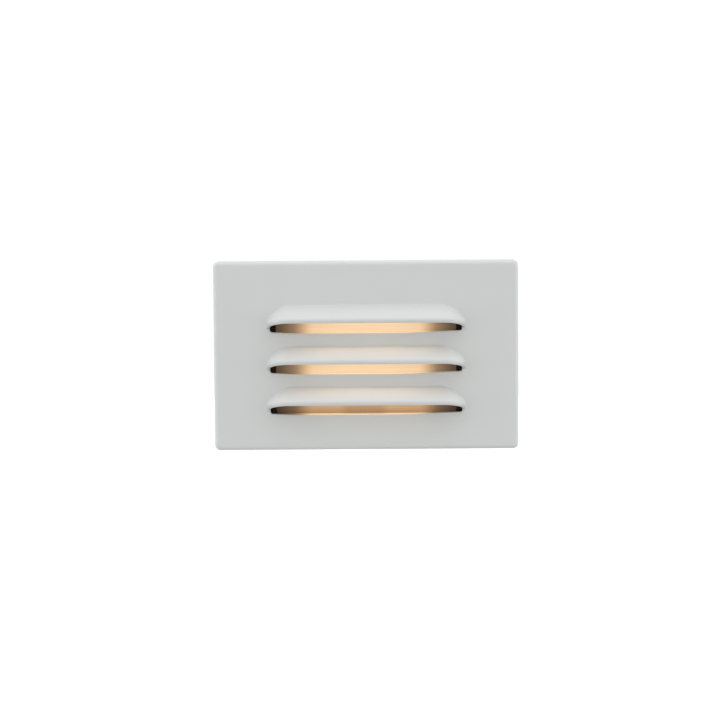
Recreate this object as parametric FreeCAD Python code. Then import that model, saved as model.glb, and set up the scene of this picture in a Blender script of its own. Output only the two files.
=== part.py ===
import FreeCAD, Part
import math
import os

# A louvred step light for a single-gang device box set on its side in a wall.
# Millimetres. +X runs along the plate, +Y into the wall, +Z up. The front faces -Y.
# The origin is the middle of the device box's screw pair, in the plane of the wall.

V = FreeCAD.Vector

# ---------------------------------------------------------------- driving dimensions

# Faceplate: one casting, an open-backed tray.
plate_width = 117.5
plate_height = 73.0
plate_depth = 9.5            # from its rim, on the wall gasket, to its front face
front_wall = 2.0
side_wall = 2.2
corner_radius = 2.2          # seen from the front
front_edge_radius = 1.8      # rolled edge all round the front face

# Louvres: three alike, one above the other. Heights of a hood count from its sill.
louvre_count = 3
louvre_pitch = 15.75
top_sill_height = 8.65       # of the top louvre's sill above the middle of the plate
hood_top = 10.85
hood_lip = 4.7
hood_foot = 2.1              # where the hood's ends come down to the plate
hood_reach = 8.9             # how far the lip stands in front of the plate
hood_straight = 58.6         # middle stretch between the two turned ends
hood_wall = 1.2
slot_corner_radius = 1.0     # lower corners of the slot through the plate
# The hood's crown in side view, as shares of its reach and of its fall from top to lip.
crown_shoulder = (0.47, 0.245)
crown_brow = (0.81, 0.61)
crown_nose = (0.94, 0.85)

# Wall gasket, on the wall under the frame and the faceplate's rim.
wall_gasket_thickness = 1.5
wall_gasket_inset = 1.0      # from the faceplate's outline
wall_gasket_screw_room = 4.83  # from a device slot's end to the gasket's window
wall_gasket_housing_gap = 1.5  # above and below the housing's flange

# Mounting frame: pressed sheet with a flange turned forward along the top and bottom.
frame_thickness = 1.0
frame_drop = 2.3             # from the faceplate's inner walls to the frame's flanges
frame_side_clearance = 0.3
flange_end_gap = 6.25         # from the frame's ends to the flanges' ends
flange_depth = 6.0
device_screw_spacing = 83.34  # single-gang device box
device_slot_width = 3.9       # passes a number 6 screw
device_slot_length = 7.0

# Set screws: M3, up through the faceplate's bottom wall onto the frame's lower flange.
set_screw_radius = 1.5
set_screw_clearance = 0.03
set_screw_inset = 18.75       # from the faceplate's ends
set_screw_lead = 0.25         # its axis stands before the middle of the frame's flange
set_screw_chamfer = 0.3
set_screw_recess = 0.4        # its end below which the plate's wall stands proud
set_screw_tip_gap = 0.1
boss_radius = 2.9
boss_gap = 0.25               # between the bosses and the flange
boss_bite = 0.5               # how far bosses and pads run into the wall that carries them
set_screw_socket = 1.5        # across the flats of its hexagon
set_screw_socket_depth = 1.6
pad_length = 16.0             # locating pads under the faceplate's top wall
pad_width = 4.0
pad_inset = 18.75
pad_gap = 0.1

# Lens, its gasket, and the two spring clips that hold them to the faceplate.
lens_width = 82.0
lens_thickness = 2.0
lens_corner = 3.0
lens_chamfer = 0.2
lens_gasket_thickness = 0.8
lens_gasket_laps = (6.2, 2.0)  # of its ring, at the ends, and at the top and bottom
clip_length = 58.0
clip_thickness = 0.6
clip_bite = 1.5               # how far a clip laps over the lens
clip_height = 6.0
clip_flange_gap = 1.0         # between a clip and the frame's flange
clip_lift = 0.05
clip_corner = 1.2
clip_bead_radius = 0.24       # of a rolled stiffening bead along its outer half
clip_bead_end_gap = 4.0       # from the bead's ends to the screws' axes
clip_screw_spacing = 44.0
clip_screw_radius = 1.0
clip_screw_clearance = 0.03
clip_screw_play = 0.2         # round each screw in its clip
clip_screw_tip_gap = 0.2      # from its end to its hole's end
clip_screw_head_radius = 1.75
clip_screw_head_height = 1.3
clip_screw_depth = 3.2        # of its hole, from the boss's top
clip_boss_radius = 1.9
clip_boss_gap = 0.5           # between a boss and the lens's edge

# Lamp housing: a drawn can behind the frame, riveted to it by its flange.
housing_wall = 0.8
housing_inner_width = 68.0
housing_inner_height = 44.4
housing_rear = 44.0           # outer face of its rear wall
housing_corner = 4.0
housing_rear_radius = 1.2
housing_flange_width = 73.0
housing_flange_height = 56.0
rivet_radius = 1.2
rivet_head_radius = 2.2
rivet_head_height = 0.8
rivet_head_round = 0.4
rivet_tail_radius = 1.76
rivet_tail_height = 0.6
housing_rivet_places = (26.0, 25.4)

# Reflector: one bent sheet, over the lamp, down behind it and forward along the floor.
reflector_thickness = 0.5
reflector_end_gap = 0.3        # to where the housing's corners begin to turn
reflector_front = 2.0
reflector_back = 30.0
reflector_bend = 10.0
reflector_bracket_gap = 0.5    # between its floor leg and the socket's bracket
reflector_notch = (16.0, 14.0)  # for the leads: width, and height above the floor
reflector_rivet_place = (17.0, 9.0)

# Lamp socket in a folded bracket on the housing's floor.
socket_place = 14.0           # from the wall's plane to the lamp's axis
socket_width = 18.0
socket_depth = 13.0
socket_height = 14.0
socket_corner = 1.5
bracket_thickness = 0.8
bracket_length = 34.0
bracket_depth = 12.0
bracket_corner = 2.0
bracket_tab_height = 9.0
bracket_tab_gap = 0.1
bracket_tab_inset = 1.0       # of a tab's edges from the foot's edges
bracket_rivet_offset = 13.8
catch_width = 4.0             # moulded catches that snap into the bracket's tabs
catch_height = 2.0
catch_level = 5.0             # middle of a catch above the socket's foot
catch_clearance = 0.15
contact_thickness = 0.4
contact_width = 3.0
contact_offset = 3.0
contact_gap = 0.08            # to the lamp's lead wires
contact_rise = 1.6            # how far the contact strips stop under the socket's top
contact_tail_level = 4.0      # of the contact's tail above the socket's foot
contact_tail_end = 4.5        # behind the lamp's axis

# Lamp: a glass wedge-base capsule, 10 mm across, standing upright.
lamp_radius = 5.15
lamp_bulb_height = 18.3
lamp_glass = 0.6
lamp_foot_glass = 1.2         # under the bulb's hollow, where the wires are pressed in
lamp_shoulder_gap = 0.3       # above the socket's top
wedge_width = 9.5
wedge_thickness = 2.1
wedge_length = 8.7
wedge_slot_clearance = 0.2
lamp_wire_radius = 0.25
lamp_wire_length = 6.0
lamp_wire_lift = 0.3          # of its end above the wedge's foot
support_wire_radius = 0.2
support_spread = 5.2
support_rise = 0.8            # of the supports above the filament
filament_level = 9.5          # above the lamp's shoulder
filament_radius = 0.3

# Internal leads from the socket to the terminal block.
lead_radius = 0.9
conductor_radius = 0.5
conductor_length = 2.6
conductor_end_gap = 0.4       # from its end to the clamp's stop
lead_hole_clearance = 0.2
lead_turn_run = 6.0           # between the corners of a lead's turn from level to upright
lead_early_share = 0.4        # of its sideways run, made by the turn's second corner

# Terminal block on the housing's rear wall, behind the reflector.
block_width = 19.0
block_depth = 10.6
block_height = 13.0
block_bottom = -5.0
block_corner = 0.8
terminal_pitch = 9.0
terminal_inset = 5.6          # from the rear wall to the terminals' axes
clamp_size = 4.8
clamp_length = 11.0
clamp_web = 1.0               # stop between the two wire bores of a clamp
wire_bore_radius = 1.7
wire_entry_radius = 2.0
clamp_fit = 0.05
terminal_screw_radius = 1.25
terminal_screw_clearance = 0.03
terminal_screw_head_radius = 1.8
terminal_screw_head_height = 1.2
terminal_screw_length = 1.9   # under its head
terminal_screw_access = 2.0   # radius of the hole over each screw's head
terminal_screw_pitch = 6.0
wire_screw_backoff = 0.15     # the supply side's screws are open, ready for a wire
lead_screw_bite = 0.7         # the lead side's screws reach into their bores
block_screw_radius = 1.25
block_screw_head_radius = 2.0
block_screw_head_height = 1.8
block_screw_end = 1.4         # past the rear wall
block_screw_clearance = 0.2

# Cable bushing in the rear wall.
bushing_height = 14.9         # above the middle
bushing_neck_radius = 5.0
bushing_flange_radius = 6.4
bushing_flange_thickness = 1.2
bushing_bore_radius = 3.5

slot_driver_width = 0.6
slot_driver_depth = 0.6

# ---------------------------------------------------------------- worked-out planes

gasket_front = -wall_gasket_thickness
plate_front = gasket_front - plate_depth
plate_inner = plate_front + front_wall
lens_front = plate_inner + lens_gasket_thickness
lens_back = lens_front + lens_thickness
frame_back = gasket_front
frame_front = frame_back - frame_thickness
flange_front = frame_back - flange_depth
flange_middle = (frame_back + flange_front) / 2 - set_screw_lead
inner_half_width = plate_width / 2 - side_wall
inner_half_height = plate_height / 2 - side_wall
frame_half_width = inner_half_width - frame_side_clearance
frame_half_height = inner_half_height - frame_drop
set_screw_offset = plate_width / 2 - set_screw_inset
pad_offset = plate_width / 2 - pad_inset
flange_length = 2 * (frame_half_width - flange_end_gap)
clip_outer = frame_half_height - frame_thickness - clip_flange_gap
lens_height = 2 * (clip_outer - clip_height + clip_bite)
lens_gasket_window = (lens_width - 2 * lens_gasket_laps[0], lens_height - 2 * lens_gasket_laps[1])
wall_gasket_window = (device_screw_spacing + device_slot_length + 2 * wall_gasket_screw_room,
                      housing_flange_height + 2 * wall_gasket_housing_gap)
floor = -housing_inner_height / 2
ceiling = housing_inner_height / 2
housing_half_width = housing_inner_width / 2
rear_inner = housing_rear - housing_wall
reflector_length = 2 * (housing_half_width - housing_corner + housing_wall - reflector_end_gap)
socket_foot = floor + bracket_thickness
socket_top = socket_foot + socket_height
lamp_shoulder = socket_top + lamp_shoulder_gap
wedge_bottom = lamp_shoulder - wedge_length
contact_face = wedge_thickness / 2 + 2 * lamp_wire_radius + contact_gap
contact_tail_top = socket_foot + contact_tail_level
terminal_axis = rear_inner - terminal_inset
clamp_bottom = block_bottom + (block_height - clamp_length) / 2
clamp_top = clamp_bottom + clamp_length
clamp_middle = (clamp_bottom + clamp_top) / 2
clip_screw_level = lens_height / 2 + clip_boss_gap + clip_boss_radius
clip_front = lens_back + clip_lift
clip_back = clip_front + clip_thickness


# ---------------------------------------------------------------- shape helpers

def block(x0, x1, y0, y1, z0, z1):
    """A box between two corners."""
    return Part.makeBox(x1 - x0, y1 - y0, z1 - z0, V(x0, y0, z0))


def rod_y(x, z, radius, y0, y1):
    return Part.makeCylinder(radius, y1 - y0, V(x, y0, z), V(0, 1, 0))


def rod_z(x, y, radius, z0, z1):
    return Part.makeCylinder(radius, z1 - z0, V(x, y, z0), V(0, 0, 1))


def rod_x(y, z, radius, x0, x1):
    return Part.makeCylinder(radius, x1 - x0, V(x0, y, z), V(1, 0, 0))


def slab(width, height, radius, y0, y1, x=0.0, z=0.0):
    """A rounded rectangle seen from the front, as thick as y0 to y1."""
    body = block(x - width / 2, x + width / 2, y0, y1, z - height / 2, z + height / 2)
    upright = [e for e in body.Edges if abs(e.tangentAt(e.FirstParameter).y) > 0.9]
    return body.makeFillet(radius, upright)


def column(width, depth, radius, z0, z1, x=0.0, y=0.0):
    """A rounded rectangle seen from above, as tall as z0 to z1."""
    body = block(x - width / 2, x + width / 2, y - depth / 2, y + depth / 2, z0, z1)
    upright = [e for e in body.Edges if abs(e.tangentAt(e.FirstParameter).z) > 0.9]
    return body.makeFillet(radius, upright)


def fuse(first, *others):
    return first.fuse(list(others)).removeSplitter() if others else first


def cut(body, *tools):
    return body.cut(list(tools))


def save(name, shape):
    """Write one node, as one solid or a group of separate solids."""
    solids = shape.Solids
    whole = solids[0] if len(solids) == 1 else Part.makeCompound(solids)
    whole.exportStep(f"parts/{name}.step")


def arc(a, b, c):
    return Part.Arc(a, b, c).toShape()


def line(a, b):
    return Part.LineSegment(a, b).toShape()


def shaft_slot(x, z, y, radius):
    """The driver slot in a screw head that faces the front at y."""
    half = slot_driver_width / 2
    return block(x - radius, x + radius, y - 1, y + slot_driver_depth, z - half, z + half)


# ---------------------------------------------------------------- faceplate

def sills():
    return [top_sill_height - n * louvre_pitch for n in range(louvre_count)]


def crown(reach, top, lip, at):
    """The four edges of a hood's crown: at(out, up) gives a point of the side view."""
    def spot(share):
        return at(share[0] * reach, top - share[1] * (top - lip))
    brow = spot(crown_brow)
    return [
        arc(at(0, top), spot(crown_shoulder), brow),
        arc(brow, spot(crown_nose), at(reach, lip)),
    ]


def hood_body(reach, top, sill):
    """A hood as a closed body: the straight middle and two quarter-turned ends.

    Its foot is the plate's front face, and it is closed underneath at the sill's level.
    """
    half = hood_straight / 2

    def side_view(x):
        def at(out, up):
            return V(x, plate_front - out, sill + up)
        edges = crown(reach, top, hood_lip, at)
        edges += [
            line(at(reach, hood_lip), at(reach, 0)),
            line(at(reach, 0), at(0, 0)),
            line(at(0, 0), at(0, top)),
        ]
        return Part.Face(Part.Wire(edges))

    middle = side_view(-half).extrude(V(2 * half, 0, 0))
    up = V(0, 0, 1)
    left = side_view(-half).revolve(V(-half, plate_front, sill), up, -90)
    right = side_view(half).revolve(V(half, plate_front, sill), up, 90)
    return middle, left, right


def hood_root(reach, top, sill, y0, y1):
    """The hood's outline on the plate, carried through the plate from y0 to y1."""
    half = hood_straight / 2

    def to_right(out, up):
        return V(half + out, y0, sill + up)

    def to_left(out, up):
        return V(-half - out, y0, sill + up)

    corner = slot_corner_radius
    middle_share = 1 - math.sqrt(0.5)
    edges = [
        line(to_right(reach - corner, 0), to_left(reach - corner, 0)),
        line(to_left(0, top), to_right(0, top)),
    ]
    for to_side in (to_left, to_right):
        edges += crown(reach, top, hood_lip, to_side)
        edges += [
            line(to_side(reach, hood_lip), to_side(reach, corner)),
            arc(to_side(reach, corner),
                to_side(reach - middle_share * corner, middle_share * corner),
                to_side(reach - corner, 0)),
        ]
    outline = Part.Wire(Part.__sortEdges__(edges))
    return Part.Face(outline).extrude(V(0, y1 - y0, 0))


def mouth_cut(sill):
    """What is cut away under the mouth's plane, which rises from the hood's foot to its lip."""
    past = 2.0
    half = hood_straight / 2 + hood_reach + past
    far = hood_reach + past
    far_level = hood_foot + (hood_lip - hood_foot) * far / hood_reach
    corners = [(0, 0), (far, -past), (far, far_level), (0, hood_foot), (0, 0)]
    side = Part.makePolygon([V(-half, plate_front - out, sill + up) for out, up in corners])
    return Part.Face(side).extrude(V(2 * half, 0, 0))


def on_front_face(edge):
    """True for an edge that lies in the plane of the plate's front face."""
    box = edge.BoundBox
    return abs(box.YMin - plate_front) < 1e-4 and abs(box.YMax - plate_front) < 1e-4


def faceplate():
    body = slab(plate_width, plate_height, corner_radius, plate_front, gasket_front)
    body = body.makeFillet(front_edge_radius, [e for e in body.Edges if on_front_face(e)])
    for sill in sills():
        body = body.fuse(list(hood_body(hood_reach, hood_top, sill))).removeSplitter()
    body = cut(body, *[mouth_cut(sill) for sill in sills()])
    hollow = slab(2 * inner_half_width, 2 * inner_half_height, corner_radius / 2,
                  plate_inner, gasket_front + 1)
    body = cut(body, hollow)
    for sill in sills():
        reach = hood_reach - hood_wall
        top = hood_top - hood_wall
        body = cut(body, *hood_body(reach, top, sill))
        body = cut(body, hood_root(reach, top, sill, plate_front, plate_inner + 1))
    adds = []
    for side in (-1, 1):
        x = side * set_screw_offset
        top = -frame_half_height - boss_gap
        adds.append(rod_z(x, flange_middle, boss_radius, -inner_half_height - boss_bite, top))
        x = side * pad_offset
        adds.append(block(x - pad_length / 2, x + pad_length / 2,
                          flange_middle - pad_width / 2, flange_middle + pad_width / 2,
                          frame_half_height + pad_gap, inner_half_height + boss_bite))
        for level in (-clip_screw_level, clip_screw_level):
            adds.append(rod_y(side * clip_screw_spacing / 2, level, clip_boss_radius,
                              plate_inner - boss_bite, lens_back))
    body = fuse(body, *adds)
    holes = []
    for side in (-1, 1):
        holes.append(rod_z(side * set_screw_offset, flange_middle,
                           set_screw_radius + set_screw_clearance,
                           -plate_height / 2 - 1, -frame_half_height + 1))
        for level in (-clip_screw_level, clip_screw_level):
            holes.append(rod_y(side * clip_screw_spacing / 2, level,
                               clip_screw_radius + clip_screw_clearance,
                               lens_back - clip_screw_depth, lens_back + 1))
    return cut(body, *holes)


# ---------------------------------------------------------------- lens and its fixings

def lens_gasket():
    ring = slab(lens_width, lens_height, lens_corner, plate_inner, lens_front)
    window = slab(*lens_gasket_window, lens_corner, plate_inner - 1, lens_front + 1)
    return cut(ring, window)


def lens():
    body = slab(lens_width, lens_height, lens_corner, lens_front, lens_back)
    faces = [e for e in body.Edges if abs(e.BoundBox.YMax - e.BoundBox.YMin) < 1e-6]
    return body.makeChamfer(lens_chamfer, faces)


def lens_clip(side):
    """A spring strip along the lens's upper (side 1) or lower (side -1) edge."""
    middle = side * (clip_outer - clip_height / 2)
    body = slab(clip_length, clip_height, clip_corner, clip_front, clip_back, z=middle)
    holes = [rod_y(x * clip_screw_spacing / 2, side * clip_screw_level,
                   clip_screw_radius + clip_screw_play, clip_front - 1, clip_back + 1)
             for x in (-1, 1)]
    bead = rod_x(clip_back, middle, clip_bead_radius,
                 -clip_screw_spacing / 2 + clip_bead_end_gap,
                 clip_screw_spacing / 2 - clip_bead_end_gap)
    return cut(fuse(body, bead), *holes)


def pan_screw(x, z, radius, head_radius, head_height, y_tip, y_seat):
    """A screw driven from behind towards the front: its head is on the +Y side."""
    shank = rod_y(x, z, radius, y_tip, y_seat)
    head = rod_y(x, z, head_radius, y_seat, y_seat + head_height)
    rim = [e for e in head.Edges if abs(e.BoundBox.YMin - y_seat - head_height) < 1e-6]
    head = head.makeFillet(0.3 * head_height, rim)
    half = slot_driver_width / 2
    end = y_seat + head_height
    slot = block(x - head_radius, x + head_radius, end - slot_driver_depth, end + 1,
                 z - half, z + half)
    return cut(fuse(shank, head), slot)


def lens_clip_screws():
    tip = lens_back - clip_screw_depth + clip_screw_tip_gap
    return Part.makeCompound([
        pan_screw(x * clip_screw_spacing / 2, z * clip_screw_level, clip_screw_radius,
                  clip_screw_head_radius, clip_screw_head_height, tip, clip_back)
        for x in (-1, 1) for z in (-1, 1)
    ])


def hexagon_z(x, y, flats, z0, z1):
    """A six-sided prism standing on z0."""
    radius = flats / math.sqrt(3)
    turns = [math.radians(60 * n + 30) for n in range(7)]
    corners = [V(x + radius * math.cos(t), y + radius * math.sin(t), z0) for t in turns]
    return Part.Face(Part.makePolygon(corners)).extrude(V(0, 0, z1 - z0))


def set_screw(side):
    x = side * set_screw_offset
    low = -plate_height / 2 + set_screw_recess
    high = -frame_half_height - set_screw_tip_gap
    body = rod_z(x, flange_middle, set_screw_radius, low, high)
    ends = [e for e in body.Edges if abs(e.BoundBox.ZMax - e.BoundBox.ZMin) < 1e-6]
    body = body.makeChamfer(set_screw_chamfer, ends)
    socket = hexagon_z(x, flange_middle, set_screw_socket, low - 1, low + set_screw_socket_depth)
    return cut(body, socket)


# ---------------------------------------------------------------- gasket and frame

def wall_gasket():
    ring = slab(plate_width - 2 * wall_gasket_inset, plate_height - 2 * wall_gasket_inset,
                corner_radius, gasket_front, 0)
    window = slab(*wall_gasket_window, corner_radius, gasket_front - 1, 1)
    return cut(ring, window)


def device_slots(y0, y1):
    cutters = []
    run = device_slot_length - device_slot_width
    for side in (-1, 1):
        x = side * device_screw_spacing / 2
        cutters.append(block(x - run / 2, x + run / 2, y0, y1,
                             -device_slot_width / 2, device_slot_width / 2))
        cutters += [rod_y(x + end * run / 2, 0, device_slot_width / 2, y0, y1)
                    for end in (-1, 1)]
    return cutters


def housing_rivet_spots():
    across, up = housing_rivet_places
    return [(sx * across, sz * up) for sx in (-1, 1) for sz in (-1, 1)]


def mounting_frame():
    body = slab(2 * frame_half_width, 2 * frame_half_height, corner_radius,
                frame_front, frame_back)
    for side in (-1, 1):
        outer = side * frame_half_height
        inner = side * (frame_half_height - frame_thickness)
        body = fuse(body, block(-flange_length / 2, flange_length / 2,
                                flange_front, frame_back,
                                min(outer, inner), max(outer, inner)))
    window = slab(housing_inner_width, housing_inner_height,
                  housing_corner - housing_wall, frame_front - 1, frame_back + 1)
    holes = [rod_y(x, z, rivet_radius, frame_front - 1, frame_back + 1)
             for x, z in housing_rivet_spots()]
    return cut(body, window, *holes, *device_slots(frame_front - 1, frame_back + 1))


# ---------------------------------------------------------------- lamp housing

def lamp_housing():
    flange = slab(housing_flange_width, housing_flange_height, housing_corner,
                  frame_back, frame_back + housing_wall)
    outer = slab(housing_inner_width + 2 * housing_wall,
                 housing_inner_height + 2 * housing_wall, housing_corner,
                 frame_back, housing_rear)
    rear_rim = [e for e in outer.Edges
                if abs(e.BoundBox.YMin - housing_rear) < 1e-6]
    outer = outer.makeFillet(housing_rear_radius, rear_rim)
    inner = slab(housing_inner_width, housing_inner_height, housing_corner - housing_wall,
                 frame_back - 1, rear_inner)
    across, along = reflector_rivet_place
    holes = [rod_y(x, z, rivet_radius, frame_back - 1, frame_back + housing_wall + 1)
             for x, z in housing_rivet_spots()]
    holes += [rod_z(s * across, along, rivet_radius, ceiling - 1, ceiling + housing_wall + 1)
              for s in (-1, 1)]
    holes += [rod_z(s * bracket_rivet_offset, socket_place, rivet_radius,
                    floor - housing_wall - 1, floor + 1) for s in (-1, 1)]
    holes.append(rod_y(0, bushing_height, bushing_neck_radius, rear_inner - 1,
                       housing_rear + 1))
    holes.append(rod_y(0, clamp_middle, block_screw_radius, rear_inner - 1,
                       housing_rear + 1))
    return cut(fuse(flange, outer), inner, *holes)


def rivet_y(x, z, head_face, grip):
    """A rivet set from the front: domed head before head_face, tail behind the grip."""
    head = rod_y(x, z, rivet_head_radius, head_face - rivet_head_height, head_face)
    rim = [e for e in head.Edges
           if abs(e.BoundBox.YMax - head_face + rivet_head_height) < 1e-6]
    head = head.makeFillet(rivet_head_round, rim)
    shank = rod_y(x, z, rivet_radius, head_face, head_face + grip)
    tail = rod_y(x, z, rivet_tail_radius, head_face + grip,
                 head_face + grip + rivet_tail_height)
    return fuse(head, shank, tail)


def housing_rivets():
    grip = frame_thickness + housing_wall
    return Part.makeCompound([rivet_y(x, z, frame_front, grip)
                              for x, z in housing_rivet_spots()])


def rivet_z(x, y, head_face, grip, way):
    """A rivet along Z: its head on head_face, its tail past the grip, way +1 up or -1 down."""
    body = Part.makeCylinder(rivet_radius, grip, V(x, y, head_face), V(0, 0, way))
    head = Part.makeCylinder(rivet_head_radius, rivet_head_height,
                             V(x, y, head_face), V(0, 0, -way))
    far = head_face - way * rivet_head_height
    rim = [e for e in head.Edges if abs(e.BoundBox.ZMin - far) < 1e-6
           and abs(e.BoundBox.ZMax - far) < 1e-6]
    head = head.makeFillet(rivet_head_round, rim)
    tail = Part.makeCylinder(rivet_tail_radius, rivet_tail_height,
                             V(x, y, head_face + way * grip), V(0, 0, way))
    return fuse(head, body, tail)


# ---------------------------------------------------------------- reflector

def reflector():
    """The sheet's side view is carried along X: top leg, bend, back, bend, floor leg."""
    def side_view(back, half_height, bend):
        low = V(-reflector_length / 2, back - bend, -half_height)
        high = V(-reflector_length / 2, back - bend, half_height)
        turn = bend * math.sqrt(0.5)
        upper = V(-reflector_length / 2, back, half_height - bend)
        lower = V(-reflector_length / 2, back, -half_height + bend)
        front = V(-reflector_length / 2, reflector_front, half_height)
        front_low = V(-reflector_length / 2, reflector_front, -half_height)
        edges = [
            line(front, high),
            arc(high, V(front.x, back - bend + turn, half_height - bend + turn), upper),
            line(upper, lower),
            arc(lower, V(front.x, back - bend + turn, -half_height + bend - turn), low),
            line(low, front_low),
            line(front_low, front),
        ]
        face = Part.Face(Part.Wire(edges))
        return face.extrude(V(reflector_length, 0, 0))

    outer = side_view(reflector_back + reflector_thickness, ceiling,
                      reflector_bend + reflector_thickness)
    inner = side_view(reflector_back, ceiling - reflector_thickness, reflector_bend)
    inner = fuse(inner, block(-reflector_length / 2, reflector_length / 2,
                              reflector_front - 1, reflector_front + 1,
                              -ceiling + reflector_thickness,
                              ceiling - reflector_thickness))
    body = cut(outer, inner)
    # the floor leg stops behind the socket's bracket
    floor_leg_start = socket_place + bracket_depth / 2 + reflector_bracket_gap
    width, height = reflector_notch
    front_trim = block(-reflector_length, reflector_length, reflector_front - 2,
                       floor_leg_start, floor - 1, 0)
    notch = block(-width / 2, width / 2, floor_leg_start - 1, reflector_back + 2,
                  floor - 1, floor + height)
    across, along = reflector_rivet_place
    holes = [rod_z(s * across, along, rivet_radius, ceiling - 2, ceiling + 1)
             for s in (-1, 1)]
    return cut(body, front_trim, notch, *holes)


def reflector_rivets():
    across, along = reflector_rivet_place
    grip = reflector_thickness + housing_wall
    seat = ceiling - reflector_thickness
    return Part.makeCompound([rivet_z(s * across, along, seat, grip, 1) for s in (-1, 1)])


# ---------------------------------------------------------------- socket

def socket_bracket():
    foot = column(bracket_length, bracket_depth, bracket_corner, floor, socket_foot,
                  y=socket_place)
    tabs = []
    windows = []
    inner = socket_width / 2 + bracket_tab_gap
    reach = inner + bracket_thickness
    clear = catch_clearance
    for side in (-1, 1):
        near, far = sorted((side * inner, side * reach))
        tabs.append(block(near, far, socket_place - bracket_depth / 2 + bracket_tab_inset,
                          socket_place + bracket_depth / 2 - bracket_tab_inset,
                          floor, socket_foot + bracket_tab_height))
        windows.append(block(near - 1, far + 1,
                             socket_place - catch_width / 2 - clear,
                             socket_place + catch_width / 2 + clear,
                             socket_foot + catch_level - catch_height / 2 - clear,
                             socket_foot + catch_level + catch_height / 2 + clear))
    holes = [rod_z(s * bracket_rivet_offset, socket_place, rivet_radius, floor - 1,
                   socket_foot + 1) for s in (-1, 1)]
    return cut(fuse(foot, *tabs), *windows, *holes)


def bracket_rivets():
    grip = bracket_thickness + housing_wall
    return Part.makeCompound([rivet_z(s * bracket_rivet_offset, socket_place, socket_foot,
                                      grip, -1) for s in (-1, 1)])


def lamp_socket():
    body = column(socket_width, socket_depth, socket_corner, socket_foot, socket_top,
                  y=socket_place)
    catches = []
    for side in (-1, 1):
        near, far = sorted((side * (socket_width / 2 - 1),
                            side * (socket_width / 2 + bracket_tab_gap + bracket_thickness)))
        catches.append(block(near, far, socket_place - catch_width / 2,
                             socket_place + catch_width / 2,
                             socket_foot + catch_level - catch_height / 2,
                             socket_foot + catch_level + catch_height / 2))
    body = fuse(body, *catches)
    half_slot = contact_face + contact_thickness
    slot = block(-wedge_width / 2 - wedge_slot_clearance, wedge_width / 2 + wedge_slot_clearance,
                 socket_place - half_slot, socket_place + half_slot,
                 wedge_bottom - wedge_slot_clearance, socket_top + 1)
    pocket = block(-contact_offset - contact_width / 2, contact_offset + contact_width / 2,
                   socket_place - half_slot, socket_place + contact_tail_end + contact_thickness,
                   contact_tail_top - contact_thickness, wedge_bottom)
    ways = [rod_y(side * contact_offset, contact_tail_top - contact_thickness / 2,
                  lead_radius + lead_hole_clearance,
                  socket_place + contact_tail_end, socket_place + socket_depth)
            for side in (-1, 1)]
    return cut(body, slot, pocket, *ways)


def socket_contact(side):
    """One strip: upright against the lamp's lead wire, then back along the pocket."""
    x0 = side * contact_offset - contact_width / 2
    x1 = x0 + contact_width
    near = side * contact_face
    far = side * (contact_face + contact_thickness)
    y0, y1 = sorted((socket_place + near, socket_place + far))
    upright = block(x0, x1, y0, y1, contact_tail_top - contact_thickness,
                    socket_top - contact_rise)
    tail = block(x0, x1, y0, socket_place + contact_tail_end,
                 contact_tail_top - contact_thickness, contact_tail_top)
    return fuse(upright, tail)


def socket_contacts():
    return Part.makeCompound([socket_contact(side) for side in (-1, 1)])


# ---------------------------------------------------------------- internal leads

def lead_route(side):
    """Corner points from the socket's rear face to the mouth of the clamp's lower bore.

    The turn from level to upright is spread over three corners of a third each.
    """
    level = contact_tail_top - contact_thickness / 2
    start = socket_place + contact_tail_end + conductor_length
    x0 = side * contact_offset
    x1 = side * terminal_pitch / 2
    step = lead_turn_run
    third = math.radians(30)
    rise = (1 + math.sin(third)) * step * math.cos(third)
    first = terminal_axis - step * (math.cos(third) + math.cos(2 * third))
    second_y = first + step * math.cos(third)
    second_z = level + step * math.sin(third)
    third_z = second_z + step * math.sin(2 * third)
    return [
        V(x0, start, level),
        V(x0, first, level),
        V(x0 + lead_early_share * (x1 - x0), second_y, second_z),
        V(x1, terminal_axis, third_z),
        V(x1, terminal_axis, clamp_bottom),
    ]


def rounded_path(points):
    """Straight runs joined by tangent arcs, each as large as its two runs allow."""
    edges = []
    radii = []
    at = points[0]
    for before, corner, after in zip(points, points[1:], points[2:]):
        inward = (corner - before).normalize()
        outward = (after - corner).normalize()
        turn = inward.getAngle(outward)
        run = min((corner - before).Length, (after - corner).Length)
        setback = 0.45 * run
        radius = setback / math.tan(turn / 2)
        radii.append(radius)
        start = corner - inward * setback
        end = corner + outward * setback
        middle_way = (outward - inward).normalize()
        centre = corner + middle_way * (radius / math.cos(turn / 2))
        edges.append(line(at, start))
        edges.append(arc(start, centre - middle_way * radius, end))
        at = end
    edges.append(line(at, points[-1]))
    return Part.Wire(edges), radii


def lead(name, side):
    points = lead_route(side)
    path, radii = rounded_path(points)
    section = Part.Wire(Part.makeCircle(lead_radius, points[0], points[1] - points[0]))
    tube = path.makePipeShell([section], True, False)
    area = math.pi * lead_radius ** 2
    print(name, "radii", [round(r, 1) for r in radii],
          "volume", round(tube.Volume, 2), "section x length", round(area * path.Length, 2))
    x0, x1 = points[0].x, points[-1].x
    level = points[0].z
    behind = rod_y(x0, level, conductor_radius,
                   points[0].y - conductor_length, points[0].y)
    above = rod_z(x1, terminal_axis, conductor_radius, clamp_bottom,
                  clamp_middle - clamp_web / 2 - conductor_end_gap)
    return fuse(tube, behind, above)


# ---------------------------------------------------------------- terminal block

def terminal_screw_levels():
    return [clamp_middle - terminal_screw_pitch / 2, clamp_middle + terminal_screw_pitch / 2]


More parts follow.
